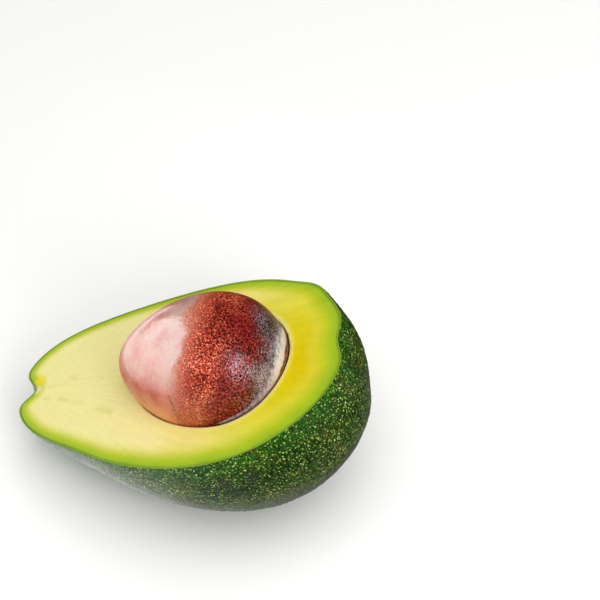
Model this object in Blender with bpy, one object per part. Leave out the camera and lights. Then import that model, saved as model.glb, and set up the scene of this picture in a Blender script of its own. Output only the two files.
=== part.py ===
"""Half an avocado with its stone, cut face up, lying on the curve of its skin.

Metres, +Z up. The fruit is drawn in its own frame: X runs along its axis from the neck to the
blossom end, Y runs across the cut and Z points out of it. An empty then tilts it to the way it
rests, with the origin under the middle of its box. Every surface is a distance measured from the
heart, the point of the cut plane over which the stone sits, so the pieces nest with even gaps.
"""

import bpy
import bmesh
import numpy as np

# The whole fruit, before the cut
FRUIT_LENGTH = 0.110
FRUIT_RADIUS = 0.0321
PEAR_SHAPE = (0.294, 0.128, -0.229)
BELLY_DEPTH = 1.06
NECK_DROP = 0.0038

# The pit left by the stem, at the neck end
STEM_PIT_DEPTH = 0.0055
STEM_PIT_RADIUS = 0.0045
STEM_PIT_PLACE = (-0.001, -0.0043)

# Swellings round the cut: turn from the blossom end in degrees, height, width in degrees
SHOULDER = (46.0, 0.0013, 8.7)
BLOSSOM_DENT = (9.8, -0.0025, 8.8)
NECK_SLANT = (197.0, -0.0047, 26.8)
SWELLING_DEPTH_DIP = 41.0

# The knife cut, off the middle of the fruit and rising towards the blossom end
CUT_HEIGHT = 0.0033
CUT_RISE = 0.0226
HEART_X = 0.010

# The stone, an egg of revolution, blunt towards the blossom end
STONE_LENGTH = 0.0476
STONE_RADIUS = 0.0196
STONE_BLUNTNESS = 0.242
STONE_PLACE = (0.0099, 0.0077)

# Thicknesses and clearances
SKIN_THICKNESS = 0.0011
CLEARANCE = 0.00035
COAT_THICKNESS = 0.0006
SEAT_SLACK = 0.0013
SEAT_SLACK_TURN = 60.0

# The loose seed coat, a crescent round the blunt end of the stone
COAT_TURN = 43.0
COAT_BELOW = 0.0030
COAT_ABOVE = 0.0034
COAT_FRAY = 0.0005
COAT_TATTERS = 9

# The pebbles of the skin, drawn about three times life size
PEBBLE_SPACING = 0.0088
PEBBLE_HEIGHT = 0.00032
PEBBLE_FADE_DIP = 8.0

# How the half rests
REST_TILT = np.radians(10.0)
FLAT_DEPTH = 0.0008

# How finely the surfaces are divided
COLUMNS = 96
SKIN_RINGS = 22
INNER_RINGS = 9
CUT_RINGS = 2
STONE_RINGS = 18
STONE_COLUMNS = 48
COAT_STEPS = 26
GRID_STRETCH = (0.052, 0.031, 0.038)

HALF = FRUIT_LENGTH / 2
CUT_SLOPE = np.arctan2(CUT_RISE, FRUIT_LENGTH)
CUT_AXES = np.array([
    (np.cos(CUT_SLOPE), 0.0, np.sin(CUT_SLOPE)),
    (0.0, 1.0, 0.0),
    (-np.sin(CUT_SLOPE), 0.0, np.cos(CUT_SLOPE)),
])
HEART = np.array((HEART_X, 0.0, CUT_HEIGHT + CUT_RISE * HEART_X / FRUIT_LENGTH))
REST_UP = np.array((np.sin(REST_TILT), 0.0, np.cos(REST_TILT)))


def in_fruit(points):
    """True where a point lies inside the whole fruit: pear-shaped, drooping neck, stem pit."""
    x, y, z = points[..., 0], points[..., 1], points[..., 2]
    z = z + NECK_DROP * np.clip(x / HALF, -1, 0) ** 2
    from_pit = (y - STEM_PIT_PLACE[0]) ** 2 + (z - STEM_PIT_PLACE[1]) ** 2
    pit = STEM_PIT_DEPTH * np.exp(-from_pit / STEM_PIT_RADIUS ** 2)
    s = (x - np.where(x < 0, pit, 0)) / HALF
    a, b, c = PEAR_SHAPE
    radius = FRUIT_RADIUS * np.sqrt(np.clip(1 - s * s, 0, None)) * (1 + a * s + b * s ** 2 + c * s ** 3)
    return (abs(s) < 1) & (np.hypot(y, np.where(z < 0, z / BELLY_DEPTH, z)) < radius)


def in_stone(points):
    """True where a point lies inside the stone."""
    s = (points[..., 0] - STONE_PLACE[0]) / (STONE_LENGTH / 2)
    radius = STONE_RADIUS * np.sqrt(np.clip(1 - s * s, 0, None)) * (1 + STONE_BLUNTNESS * s)
    return (abs(s) < 1) & (np.hypot(points[..., 1], points[..., 2] - STONE_PLACE[1]) < radius)


def directions(turn, dip):
    """Unit directions from the heart: turn goes round the cut, dip goes down from the cut plane."""
    turn, dip = np.broadcast_arrays(np.radians(turn), np.radians(dip))
    parts = (np.cos(turn) * np.cos(dip), np.sin(turn) * np.cos(dip), -np.sin(dip))
    stretched = sum(size * part[..., None] * axis for size, part, axis in zip(GRID_STRETCH, parts, CUT_AXES))
    return stretched / np.linalg.norm(stretched, axis=-1, keepdims=True)


def reach(ways, inside):
    """Distance from the heart to a surface along each direction, found by halving."""
    near = np.zeros(ways.shape[:-1])
    far = np.full(ways.shape[:-1], FRUIT_LENGTH)
    for _ in range(26):
        middle = (near + far) / 2
        hit = inside(HEART + ways * middle[..., None])
        near = np.where(hit, middle, near)
        far = np.where(hit, far, middle)
    return near


def turn_of(ways):
    """True angle of each direction round the cut, in degrees, 0 at the blossom end."""
    return np.degrees(np.arctan2(ways @ CUT_AXES[1], ways @ CUT_AXES[0]))


def swellings(ways, dip):
    """Shoulder, blossom dent and slanted neck end, strongest at the cut and gone below it."""
    total = 0
    for place, height, width in (SHOULDER, BLOSSOM_DENT, NECK_SLANT):
        away = (turn_of(ways) - place + 180) % 360 - 180
        total = total + height * np.exp(-(away / width) ** 2)
    return total * np.cos(np.pi / 2 * np.clip(dip / SWELLING_DEPTH_DIP, 0, 1))


def bare_reach(turn, dip):
    """Directions and distances of the smooth outside of the fruit."""
    ways = directions(turn, dip)
    return ways, reach(ways, in_fruit) + swellings(ways, dip)


def flat_level():
    """Height of the flat spot that the half rests on, along the upward direction at rest."""
    ways, distance = bare_reach(np.arange(0, 360, 3.0), np.arange(30, 90, 1.5)[:, None])
    return ((HEART + ways * distance[..., None]) @ REST_UP).min() + FLAT_DEPTH


def outside_reach(turn, dip, pebbled):
    """Directions and distances of the outside, with its flat spot and, if wanted, its pebbles."""
    ways, distance = bare_reach(turn, dip)
    if pebbled:
        wave = np.cos((HEART + ways * distance[..., None]) * 2 * np.pi / PEBBLE_SPACING).prod(axis=-1)
        distance = distance + PEBBLE_HEIGHT * wave * np.clip(dip / PEBBLE_FADE_DIP, 0, 1)
    down = -(ways @ REST_UP)
    to_floor = (HEART @ REST_UP - LEVEL) / np.maximum(down, 1e-6)
    return ways, np.where(down > 0, np.minimum(distance, to_floor), distance)


def ring_points(ways, distance):
    return list(HEART + ways * distance[..., None])


def column_turns(dip):
    """Turns of the columns at one dip: at the pole, straight down, they meet in one point."""
    return np.arange(COLUMNS) * 360 / COLUMNS if dip < 90 else np.zeros(1)


def skin_rings(inset, rings, pebbled=False):
    """Rings of points from the lowest pole up to the rim, a set distance inside the outside."""
    found = []
    for dip in np.linspace(90, 0, rings + 1):
        ways, distance = outside_reach(column_turns(dip), np.full(1, dip), pebbled)
        found.append(ring_points(ways, distance - inset))
    return found


def seat_rings():
    """Rings of the hollow that holds the stone, roomier where the seed coat has come loose."""
    found = []
    for dip in np.linspace(0, 90, INNER_RINGS + 1):
        ways = directions(column_turns(dip), dip)
        slack = SEAT_SLACK * np.exp(-(turn_of(ways) / SEAT_SLACK_TURN) ** 4) * np.cos(np.radians(dip)) ** 2
        found.append(ring_points(ways, reach(ways, in_stone) + CLEARANCE + slack))
    return found


def stone_rings():
    """Rings round the stone's axis, from its pointed end to its blunt end."""
    around = np.arange(STONE_COLUMNS) * 2 * np.pi / STONE_COLUMNS
    found = []
    for s in -np.cos(np.linspace(0, np.pi, STONE_RINGS + 1)):
        radius = STONE_RADIUS * np.sqrt(max(1 - s * s, 0)) * (1 + STONE_BLUNTNESS * s)
        x = STONE_PLACE[0] + s * STONE_LENGTH / 2
        ring = [(x, radius * np.cos(a), STONE_PLACE[1] + radius * np.sin(a)) for a in around]
        found.append(ring if radius > 1e-6 else ring[:1])
    return found


def coat_rings():
    """Slices across the crescent of seed coat, from one tip round the blunt end to the other."""
    found = []
    for turn in np.linspace(-1, 1, COAT_STEPS + 1):
        fullness = np.sqrt(1 - turn ** 2)
        fray = COAT_FRAY * np.cos(np.pi * COAT_TATTERS * turn)
        heights = np.array((-COAT_BELOW, 0.0, COAT_ABOVE + fray)) * fullness
        angle = np.radians(turn * COAT_TURN)
        level = np.cos(angle) * CUT_AXES[0] + np.sin(angle) * CUT_AXES[1]
        rim = reach(level, in_stone)
        ways = level * rim + heights[:, None] * CUT_AXES[2]
        ways = ways / np.linalg.norm(ways, axis=-1, keepdims=True)
        inner = reach(ways, in_stone) + CLEARANCE
        if fullness < 1e-6:
            found.append(ring_points(ways[1:2], inner[1:2] + COAT_THICKNESS / 2))
            continue
        outer = ring_points(ways, inner + COAT_THICKNESS)
        found.append(ring_points(ways, inner) + outer[::-1])
    return found


def loft(name, rings, material):
    """A closed solid through rings of points, each end closed on a single point."""
    bm = bmesh.new()
    loops = [[bm.verts.new(point) for point in ring] for ring in rings]
    for one, two in zip(loops, loops[1:]):
        count = max(len(one), len(two))
        for i in range(count):
            corners = [one[i % len(one)], one[(i + 1) % len(one)], two[(i + 1) % len(two)], two[i % len(two)]]
            bm.faces.new(list(dict.fromkeys(corners)))
    bmesh.ops.triangulate(bm, faces=bm.faces[:])
    bmesh.ops.recalc_face_normals(bm, faces=bm.faces[:])
    mesh = bpy.data.meshes.new(name)
    bm.to_mesh(mesh)
    bm.free()
    mesh.shade_smooth()
    mesh.set_sharp_from_angle(angle=np.radians(40))
    mesh.materials.append(material)
    obj = bpy.data.objects.new(name, mesh)
    bpy.context.collection.objects.link(obj)
    return obj


def finish(name, colour, roughness):
    """A Principled material, colour in linear RGB."""
    material = bpy.data.materials.new(name)
    material.use_nodes = True
    shader = material.node_tree.nodes["Principled BSDF"]
    shader.inputs["Base Color"].default_value = (*colour, 1)
    shader.inputs["Roughness"].default_value = roughness
    shader.inputs["Metallic"].default_value = 0.0
    return material


def make_skin():
    """The peel: a bowl with pebbles outside, smooth inside, and a flat rim in the cut plane."""
    outside = skin_rings(0, SKIN_RINGS, pebbled=True)
    inside = skin_rings(SKIN_THICKNESS, INNER_RINGS)
    return loft("skin", outside + inside[::-1], finish("avocado_peel", (0.022, 0.085, 0.012), 0.35))


def make_flesh():
    """The flesh: fills the peel up to the cut, with the stone's seat hollowed out of it."""
    outside = skin_rings(SKIN_THICKNESS + CLEARANCE, INNER_RINGS)
    seat = seat_rings()
    rim, edge = np.array(outside[-1]), np.array(seat[0])
    face = [list(rim + (edge - rim) * k / (CUT_RINGS + 1)) for k in range(1, CUT_RINGS + 1)]
    return loft("flesh", outside + face + seat, finish("avocado_flesh", (0.80, 0.72, 0.20), 0.45))


def make_stone():
    """The whole stone, sitting in its seat and standing proud of the cut."""
    return loft("stone", stone_rings(), finish("seed_husk", (0.25, 0.055, 0.030), 0.30))


def make_seed_coat():
    """The crescent of papery coat that has come loose round the stone's blunt end."""
    return loft("seed_coat", coat_rings(), finish("papery_coat", (0.60, 0.42, 0.25), 0.60))


def lay_down(pieces):
    """Parents the pieces to an empty that tilts them to rest, over the middle of their box."""
    fruit = bpy.data.objects.new("avocado_half", None)
    bpy.context.collection.objects.link(fruit)
    fruit.rotation_euler = (0, -REST_TILT, 0)
    for piece in pieces:
        piece.parent = fruit
    bpy.context.view_layer.update()
    corners = np.array([piece.matrix_world @ v.co for piece in pieces for v in piece.data.vertices])
    low, high = corners.min(axis=0), corners.max(axis=0)
    fruit.location = (-(low[0] + high[0]) / 2, -(low[1] + high[1]) / 2, -low[2])
    bpy.context.view_layer.update()


for old in list(bpy.data.objects):
    bpy.data.objects.remove(old, do_unlink=True)
LEVEL = flat_level()
lay_down([make_skin(), make_flesh(), make_stone(), make_seed_coat()])
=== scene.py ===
import bpy
import numpy as np
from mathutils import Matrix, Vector
from mathutils.kdtree import KDTree


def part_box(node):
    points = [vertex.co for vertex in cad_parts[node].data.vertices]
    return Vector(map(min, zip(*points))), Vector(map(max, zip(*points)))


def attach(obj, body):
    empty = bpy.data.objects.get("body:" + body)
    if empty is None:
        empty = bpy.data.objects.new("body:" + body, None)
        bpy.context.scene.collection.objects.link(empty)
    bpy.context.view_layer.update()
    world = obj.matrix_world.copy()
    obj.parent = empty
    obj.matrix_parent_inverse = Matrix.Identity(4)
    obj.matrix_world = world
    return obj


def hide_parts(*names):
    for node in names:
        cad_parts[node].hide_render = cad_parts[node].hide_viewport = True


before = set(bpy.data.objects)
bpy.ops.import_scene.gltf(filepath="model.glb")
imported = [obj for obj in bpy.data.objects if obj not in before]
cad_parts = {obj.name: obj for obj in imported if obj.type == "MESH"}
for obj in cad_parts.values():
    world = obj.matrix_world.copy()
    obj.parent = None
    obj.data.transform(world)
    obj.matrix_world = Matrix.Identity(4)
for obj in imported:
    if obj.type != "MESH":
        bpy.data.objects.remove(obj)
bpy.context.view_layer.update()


# Camera: it looks down on the cut face from beyond the blossom end, half a metre away.
# A long lens keeps the near rim and the far rim almost the same size.
CAMERA_PLACE = (0.12289, -0.26124, 0.38932)
CAMERA_TURN = (41.16, 3.61, 14.48)
CAMERA_LENS = 100

scene = bpy.context.scene
camera = bpy.data.objects.new("camera", bpy.data.cameras.new("camera"))
camera.location = CAMERA_PLACE
camera.rotation_euler = np.radians(CAMERA_TURN)
camera.data.lens = CAMERA_LENS
camera.data.sensor_width = 36
camera.data.clip_start = 0.01
scene.collection.objects.link(camera)
scene.camera = camera


# Peel: the waxy, leathery skin of the fruit, half a millimetre thick and closely pebbled. It grew
# as a pear shape with a drooping neck and the pit of its stem at the neck end. A knife cut through
# fruit and peel together, and the half has settled on a small flat spot.
FRUIT_LENGTH = 0.110
FRUIT_RADIUS = 0.0321
PEAR_SHAPE = (0.294, 0.128, -0.229)
BELLY_DEPTH = 1.06
NECK_DROP = 0.0038
STEM_PIT_DEPTH = 0.0055
STEM_PIT_RADIUS = 0.0045
STEM_PIT_PLACE = (-0.001, -0.0043)
# Turn round the cut, height and width of each swelling or dip of the pear shape
SHOULDER = (46.0, 0.0013, 8.7)
BLOSSOM_DENT = (9.8, -0.0025, 8.8)
NECK_SLANT = (197.0, -0.0047, 26.8)
SWELLING_DEPTH_DIP = 41.0
CUT_HEIGHT = 0.0033
CUT_RISE = 0.0226
HEART_X = 0.010
REST_TILT = np.radians(10.0)
FLAT_DEPTH = 0.0008
GRID_STRETCH = (0.052, 0.031, 0.038)
FLESH_INSET_IN_FRAME = 0.00145
PEEL_THICKNESS = 0.00055
PEEL_EDGE = 0.00012
PEEL_COLUMNS = 640
PEEL_RINGS = 134
INNER_DIPS = (2.0, 8.0, 20.0, 35.0, 50.0, 65.0, 80.0, 90.0)
FLAT_FADE = 0.004
RIM_FADE_DIP = 2.5
PEBBLES = {
    "Pebble Width": 0.0012, "Pebble Height": 0.00013, "Swell Width": 0.007, "Swell Height": 0.0003,
    "Seed": 7}
PEEL_CLOUD_WIDTH = 0.010
RUB_WIDTH = 0.005
HOLLOW_SHADE_WIDTH = 0.0008
PEEL_GRAIN = 0.0005
BRUISE_PLACES = ((0.0278, -0.0309, 0.0388), (0.0205, -0.0325, 0.0375), (0.0235, -0.0320, 0.0330))
# Spacing, radius, faintest, strongest and colour of each size of spot
BREATHING_SPOTS_AND_GLINTS = ((0.00062, 0.00022, 0.05, 0.75, "#6f9434"), (0.00084, 0.00028, 0.4, 1.0, "#9fbb55"),
                   (0.0018, 0.00030, 0.4, 1.0, "#c3d488"), (0.0034, 0.00024, 0.3, 1.0, "#d2deb0"))

CUT_SLOPE = np.arctan2(CUT_RISE, FRUIT_LENGTH)
CUT_AXES = np.array([
    (np.cos(CUT_SLOPE), 0.0, np.sin(CUT_SLOPE)),
    (0.0, 1.0, 0.0),
    (-np.sin(CUT_SLOPE), 0.0, np.cos(CUT_SLOPE)),
])
HEART = np.array((HEART_X, 0.0, CUT_HEIGHT + CUT_RISE * HEART_X / FRUIT_LENGTH))
REST_UP = np.array((np.sin(REST_TILT), 0.0, np.cos(REST_TILT)))


def in_fruit(points):
    """True where a point lies inside the fruit before its cut: pear shape, drooping neck, stem pit."""
    x, y, z = points[..., 0], points[..., 1], points[..., 2]
    half = FRUIT_LENGTH / 2
    z = z + NECK_DROP * np.clip(x / half, -1, 0) ** 2
    from_pit = (y - STEM_PIT_PLACE[0]) ** 2 + (z - STEM_PIT_PLACE[1]) ** 2
    pit = STEM_PIT_DEPTH * np.exp(-from_pit / STEM_PIT_RADIUS ** 2)
    s = (x - np.where(x < 0, pit, 0)) / half
    a, b, c = PEAR_SHAPE
    radius = FRUIT_RADIUS * np.sqrt(np.clip(1 - s * s, 0, None)) * (1 + a * s + b * s ** 2 + c * s ** 3)
    return (abs(s) < 1) & (np.hypot(y, np.where(z < 0, z / BELLY_DEPTH, z)) < radius)


def directions(turn, dip):
    """Unit directions from the heart: turn goes round the cut, dip goes down from the cut plane."""
    turn, dip = np.broadcast_arrays(np.radians(turn), np.radians(dip))
    parts = (np.cos(turn) * np.cos(dip), np.sin(turn) * np.cos(dip), -np.sin(dip))
    ways = sum(size * part[..., None] * axis for size, part, axis in zip(GRID_STRETCH, parts, CUT_AXES))
    return ways / np.linalg.norm(ways, axis=-1, keepdims=True)


def reach(ways, inside):
    """Distance from the heart to a surface along each direction, found by halving."""
    near = np.zeros(ways.shape[:-1])
    far = np.full(ways.shape[:-1], FRUIT_LENGTH)
    for _ in range(26):
        middle = (near + far) / 2
        hit = inside(HEART + ways * middle[..., None])
        near = np.where(hit, middle, near)
        far = np.where(hit, far, middle)
    return near


def turn_of(ways):
    """True angle of each direction round the cut, in degrees, 0 at the blossom end."""
    return np.degrees(np.arctan2(ways @ CUT_AXES[1], ways @ CUT_AXES[0]))


def bare_reach(turn, dip):
    """Directions and distances of the smooth outside: shoulder, dent and slanted neck end included."""
    ways = directions(turn, dip)
    swelling = 0
    for place, height, width in (SHOULDER, BLOSSOM_DENT, NECK_SLANT):
        away = (turn_of(ways) - place + 180) % 360 - 180
        swelling = swelling + height * np.exp(-(away / width) ** 2)
    fade = np.cos(np.pi / 2 * np.clip(dip / SWELLING_DEPTH_DIP, 0, 1))
    return ways, reach(ways, in_fruit) + swelling * fade


low_ways, low_reach = bare_reach(np.arange(0, 360, 3.0), np.arange(30, 90, 1.5)[:, None])
LEVEL = ((HEART + low_ways * low_reach[..., None]) @ REST_UP).min() + FLAT_DEPTH


def outside_reach(turn, dip):
    """Directions and distances of the outside, flattened where the soft fruit rests."""
    ways, distance = bare_reach(turn, dip)
    down = -(ways @ REST_UP)
    to_floor = (HEART @ REST_UP - LEVEL) / np.maximum(down, 1e-6)
    return ways, np.where(down > 0, np.minimum(distance, to_floor), distance)


# The frame's flesh is smooth, so its box gives the exact place of the tilted fruit.
LIE = np.array([
    (np.cos(REST_TILT), 0.0, -np.sin(REST_TILT)),
    (0.0, 1.0, 0.0),
    (np.sin(REST_TILT), 0.0, np.cos(REST_TILT)),
])
rim_ways, rim_reach = outside_reach(np.arange(0, 360, 0.5), np.arange(0, 60, 2.0)[:, None])
drawn = (HEART + rim_ways * (rim_reach - FLESH_INSET_IN_FRAME)[..., None]).reshape(-1, 3) @ LIE.T
flesh_low, flesh_high = (np.array(corner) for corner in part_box("flesh"))
LAY_SHIFT = (flesh_low + flesh_high) / 2 - (drawn.min(axis=0) + drawn.max(axis=0)) / 2
LAY_SHIFT[2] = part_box("skin")[0][2] - LEVEL


def laid(points):
    """Points of the fruit's own frame, tilted and moved to where the half rests."""
    return points @ LIE.T + LAY_SHIFT


def woven(name, rings, traits):
    """A closed smooth mesh through rings of points, an end ring being one point. It carries traits,
    one list of per-ring values for each name, which the materials and node trees read."""
    starts = np.cumsum([0] + [len(ring) for ring in rings])
    faces = []
    for one, two, a, b in zip(rings, rings[1:], starts, starts[1:]):
        i = np.arange(max(len(one), len(two)))
        corners = [a + i % len(one), a + (i + 1) % len(one), b + (i + 1) % len(two), b + i % len(two)]
        if len(one) == 1:
            corners.pop(1)
        elif len(two) == 1:
            corners.pop(2)
        faces += np.stack(corners, axis=1).tolist()
    mesh = bpy.data.meshes.new(name)
    mesh.from_pydata(laid(np.concatenate(rings)).tolist(), [], faces)
    for trait, values in traits.items():
        flat = np.concatenate([np.broadcast_to(v, len(ring)) for v, ring in zip(values, rings)])
        mesh.attributes.new(trait, "FLOAT", "POINT").data.foreach_set("value", flat.astype(np.float32))
    mesh.shade_smooth()
    obj = bpy.data.objects.new(name, mesh)
    scene.collection.objects.link(obj)
    return obj


def linear(hex_colour):
    """An sRGB hex colour as linear RGBA."""
    channels = [int(hex_colour[i:i + 2], 16) / 255 for i in (1, 3, 5)]
    return tuple(c / 12.92 if c <= 0.04045 else ((c + 0.055) / 1.055) ** 2.4 for c in channels) + (1.0,)


def blank(owner):
    """The emptied node tree of a new material or world."""
    owner.use_nodes = True
    owner.node_tree.nodes.clear()
    return owner.node_tree


# The setting of a map range that starts and ends softly
EASED = {"interpolation_type": "SMOOTHSTEP"}


def node(tree, kind, inputs=(), output=None, stops=(), **settings):
    """Adds a node with its settings and links, and returns its first live output or the named one.
    Inputs are values, hex colours or other nodes' outputs, by place or by name. A kind that doesn't
    begin with Geometry, Function or Node is a shader node's."""
    prefix = "" if kind.startswith(("Geometry", "Function", "Node")) else "ShaderNode"
    made = tree.nodes.new(prefix + kind)
    for setting, value in settings.items():
        setattr(made, setting, value)
    for place, (position, colour) in enumerate(stops):
        elements = made.color_ramp.elements
        stop = elements[place] if place < 2 else elements.new(position)
        stop.position = position
        stop.color = linear(colour)
    live = [socket for socket in made.inputs if socket.enabled]
    for key, value in inputs.items() if isinstance(inputs, dict) else enumerate(inputs):
        socket = live[key] if isinstance(key, int) else next(s for s in live if s.name == key)
        if isinstance(value, bpy.types.NodeSocket):
            tree.links.new(value, socket)
        else:
            socket.default_value = linear(value) if isinstance(value, str) and value[0] == "#" else value
    outputs = [socket for socket in made.outputs if socket.enabled]
    return next((s for s in outputs if s.name == output), outputs[0] if outputs else None)


def growth(name, sizes):
    """An empty Geometry Nodes tree with one named input for each size, and its input sockets."""
    tree = bpy.data.node_groups.new(name, "GeometryNodeTree")
    tree.interface.new_socket("Geometry", in_out="INPUT", socket_type="NodeSocketGeometry")
    for size, value in sizes.items():
        kind = "NodeSocketInt" if isinstance(value, int) else "NodeSocketFloat"
        tree.interface.new_socket(size, in_out="INPUT", socket_type=kind)
    tree.interface.new_socket("Finish", in_out="INPUT", socket_type="NodeSocketMaterial")
    tree.interface.new_socket("Geometry", in_out="OUTPUT", socket_type="NodeSocketGeometry")
    return tree, {socket.name: socket for socket in tree.nodes.new("NodeGroupInput").outputs}


def close_growth(tree, geometry, finish):
    """Ends a tree: instances made real, and the finish put on."""
    real = node(tree, "GeometryNodeRealizeInstances", [geometry])
    dressed = node(tree, "GeometryNodeSetMaterial", {"Geometry": real, "Material": finish})
    node(tree, "NodeGroupOutput", [dressed])


def grow(piece, tree, sizes, finish):
    """Runs a tree on a piece with its sizes and finish, and keeps the result as its plain mesh."""
    modifier = piece.modifiers.new(tree.name, "NODES")
    modifier.node_group = tree
    for item in tree.interface.items_tree:
        if item.in_out == "INPUT" and item.name in sizes:
            modifier[item.identifier] = sizes[item.name]
        if item.in_out == "INPUT" and item.name == "Finish":
            modifier[item.identifier] = finish
    graph = bpy.context.evaluated_depsgraph_get()
    mesh = bpy.data.meshes.new_from_object(
        piece.evaluated_get(graph), preserve_all_data_layers=True, depsgraph=graph)
    piece.modifiers.remove(modifier)
    piece.data = mesh
    mesh.shade_smooth()


# Waxy avocado peel: leathery, dark green over lighter green, with pale corky breathing spots that
# are partly painted glints, olive-brown rubs, a dull bloom low down whose grey is partly painted
# reflection, painted shade between the pebbles and painted light on their crowns, and a natural wax
# that gives small broken highlights. The finest spots are drawn a little coarser than life, so that
# they show.
peel = bpy.data.materials.new("waxy_avocado_peel")
t = blank(peel)
place = node(t, "TexCoord", output="Object")
cloud = node(t, "TexNoise", {
    "Vector": place, "Scale": 1 / PEEL_CLOUD_WIDTH, "Detail": 3.0, "Roughness": 0.6})
green = node(t, "ValToRGB", [cloud], output="Color",
             stops=[(0.34, "#153404"), (0.68, "#3e500c"), (0.5, "#264606")])
below = node(t, "Attribute", attribute_name="below_cut", output="Fac")
band = node(t, "MapRange", {
    "Value": below, "From Min": 0.0, "From Max": 0.009, "To Min": 0.85, "To Max": 0.0}, **EASED)
dulled = node(t, "MapRange", {
    "Value": below, "From Min": 0.012, "From Max": 0.026, "To Min": 0.0, "To Max": 0.6}, **EASED)
rubbed = node(t, "TexNoise", {"Vector": place, "Scale": 1 / RUB_WIDTH, "Detail": 4.0, "Roughness": 0.65})
rubbed = node(t, "MapRange", {
    "Value": rubbed, "From Min": 0.53, "From Max": 0.68, "To Min": 0.0, "To Max": 0.7})
for layer, paint in ((band, "#1a5a04"), (dulled, "#4a5222"), (rubbed, "#4c3e10")):
    green = node(t, "Mix", {"Factor": layer, "A": green, "B": paint}, data_type="RGBA")
# Painted shade: fine dark flecks, the size of the hollows between the pebbles.
hollow_shade_noise = node(t, "TexNoise", {"Vector": place, "Scale": 1 / HOLLOW_SHADE_WIDTH, "Detail": 3.0, "Roughness": 0.65})
shade = node(t, "MapRange", {
    "Value": hollow_shade_noise, "From Min": 0.38, "From Max": 0.62, "To Min": 0.2, "To Max": 1.4})
green = node(t, "VectorMath", {0: green, "Scale": shade}, operation="SCALE")
# Painted light and shade: lighter on each pebble's crown, darker between the pebbles.
crown_light_and_shade = node(t, "Attribute", attribute_name="pebble_crown", output="Fac")
shade = node(t, "MapRange", {"Value": crown_light_and_shade, "To Min": 0.75, "To Max": 1.2})
green = node(t, "VectorMath", {0: green, "Scale": shade}, operation="SCALE")
# Pale breathing spots, partly painted glints on the pebbles.
for spacing, radius, faintest, strongest, colour in BREATHING_SPOTS_AND_GLINTS:
    cell = node(t, "TexVoronoi", {"Vector": place, "Scale": 1 / spacing}, output="Distance")
    spot = node(t, "MapRange", {"Value": cell, "From Min": radius / spacing * 0.6,
                                "From Max": radius / spacing, "To Min": 1.0, "To Max": 0.0})
    chance = node(t, "MapRange", {"Value": cell.node.outputs["Color"], "From Min": 0.2,
                                  "From Max": 0.8, "To Min": faintest, "To Max": strongest})
    spot = node(t, "Math", [spot, chance], operation="MULTIPLY")
    green = node(t, "Mix", {"Factor": spot, "A": green, "B": colour}, data_type="RGBA")
for bruise_place in BRUISE_PLACES:
    bruise = node(t, "VectorMath", [place, bruise_place], operation="DISTANCE")
    bruise = node(t, "Math", [hollow_shade_noise, 0.003, bruise], operation="MULTIPLY_ADD")
    bruise = node(t, "MapRange", {
        "Value": bruise, "From Min": 0.0022, "From Max": 0.0046, "To Min": 0.75, "To Max": 0.0})
    green = node(t, "Mix", {"Factor": bruise, "A": green, "B": "#232a20"}, data_type="RGBA")
# A dull grey bloom low on the peel: partly a bloom of its own where the fruit lay, partly painted
# reflection of the table.
lain_bloom_and_reflection = node(t, "SeparateXYZ", [place], output="X")
lain_bloom_and_reflection = node(t, "Math", [lain_bloom_and_reflection, -0.15, below], operation="MULTIPLY_ADD")
lain_bloom_and_reflection = node(t, "Math", [cloud, 0.018, lain_bloom_and_reflection], operation="MULTIPLY_ADD")
lain_bloom_and_reflection = node(t, "Math", [hollow_shade_noise, 0.006, lain_bloom_and_reflection], operation="MULTIPLY_ADD")
lain_bloom_and_reflection = node(t, "MapRange", {
    "Value": lain_bloom_and_reflection, "From Min": 0.0260, "From Max": 0.0390, "To Min": 0.0, "To Max": 0.62}, **EASED)
cut_edge = node(t, "Attribute", attribute_name="cut_edge", output="Fac")
for layer, paint in ((lain_bloom_and_reflection, "#454a48"), (cut_edge, "#7d9c26")):
    green = node(t, "Mix", {"Factor": layer, "A": green, "B": paint}, data_type="RGBA")
fine = node(t, "TexNoise", {"Vector": place, "Scale": 1 / PEEL_GRAIN, "Detail": 3.0})
relief = node(t, "Bump", {"Height": fine, "Strength": 0.8, "Distance": 0.00015})
waxed = node(t, "Attribute", attribute_name="outside", output="Fac")
gloss = node(t, "MapRange", {
    "Value": waxed, "From Min": 0.0, "From Max": 0.3, "To Min": 0.8, "To Max": 0.33})
shader = node(t, "BsdfPrincipled", {
    "Base Color": green, "Roughness": gloss, "IOR": 1.46, "Specular IOR Level": 0.13, "Normal": relief,
    "Coat Weight": 0.08, "Coat Roughness": 0.2})
node(t, "OutputMaterial", [shader])

# The pebbles: domes round scattered points, pushed out along the peel, but not at rim or flat spot.
tree, size = growth("peel_pebbles", PEBBLES)
seed = node(tree, "CombineXYZ", [size["Seed"], size["Seed"], size["Seed"]])
place = node(tree, "VectorMath", [node(tree, "GeometryNodeInputPosition"), seed], operation="ADD")
per_width = node(tree, "Math", [1.0, size["Pebble Width"]], operation="DIVIDE")
cell = node(tree, "TexVoronoi", {"Vector": place, "Scale": per_width})
dome = node(tree, "MapRange", {
    "Value": cell, "From Min": 0.05, "From Max": 0.7, "To Min": 1.0, "To Max": 0.0}, **EASED)
per_width = node(tree, "Math", [1.0, size["Swell Width"]], operation="DIVIDE")
swell = node(tree, "TexNoise", {"Vector": place, "Scale": per_width, "Detail": 1.0})
lift = node(tree, "Math", [dome, 0.5], operation="SUBTRACT")
lift = node(tree, "Math", [lift, size["Pebble Height"]], operation="MULTIPLY")
swell = node(tree, "Math", [swell, 0.5], operation="SUBTRACT")
lift = node(tree, "Math", [swell, size["Swell Height"], lift], operation="MULTIPLY_ADD")
open_skin = node(tree, "GeometryNodeInputNamedAttribute", {"Name": "outside"}, data_type="FLOAT")
lift = node(tree, "Math", [lift, open_skin], operation="MULTIPLY")
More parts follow.
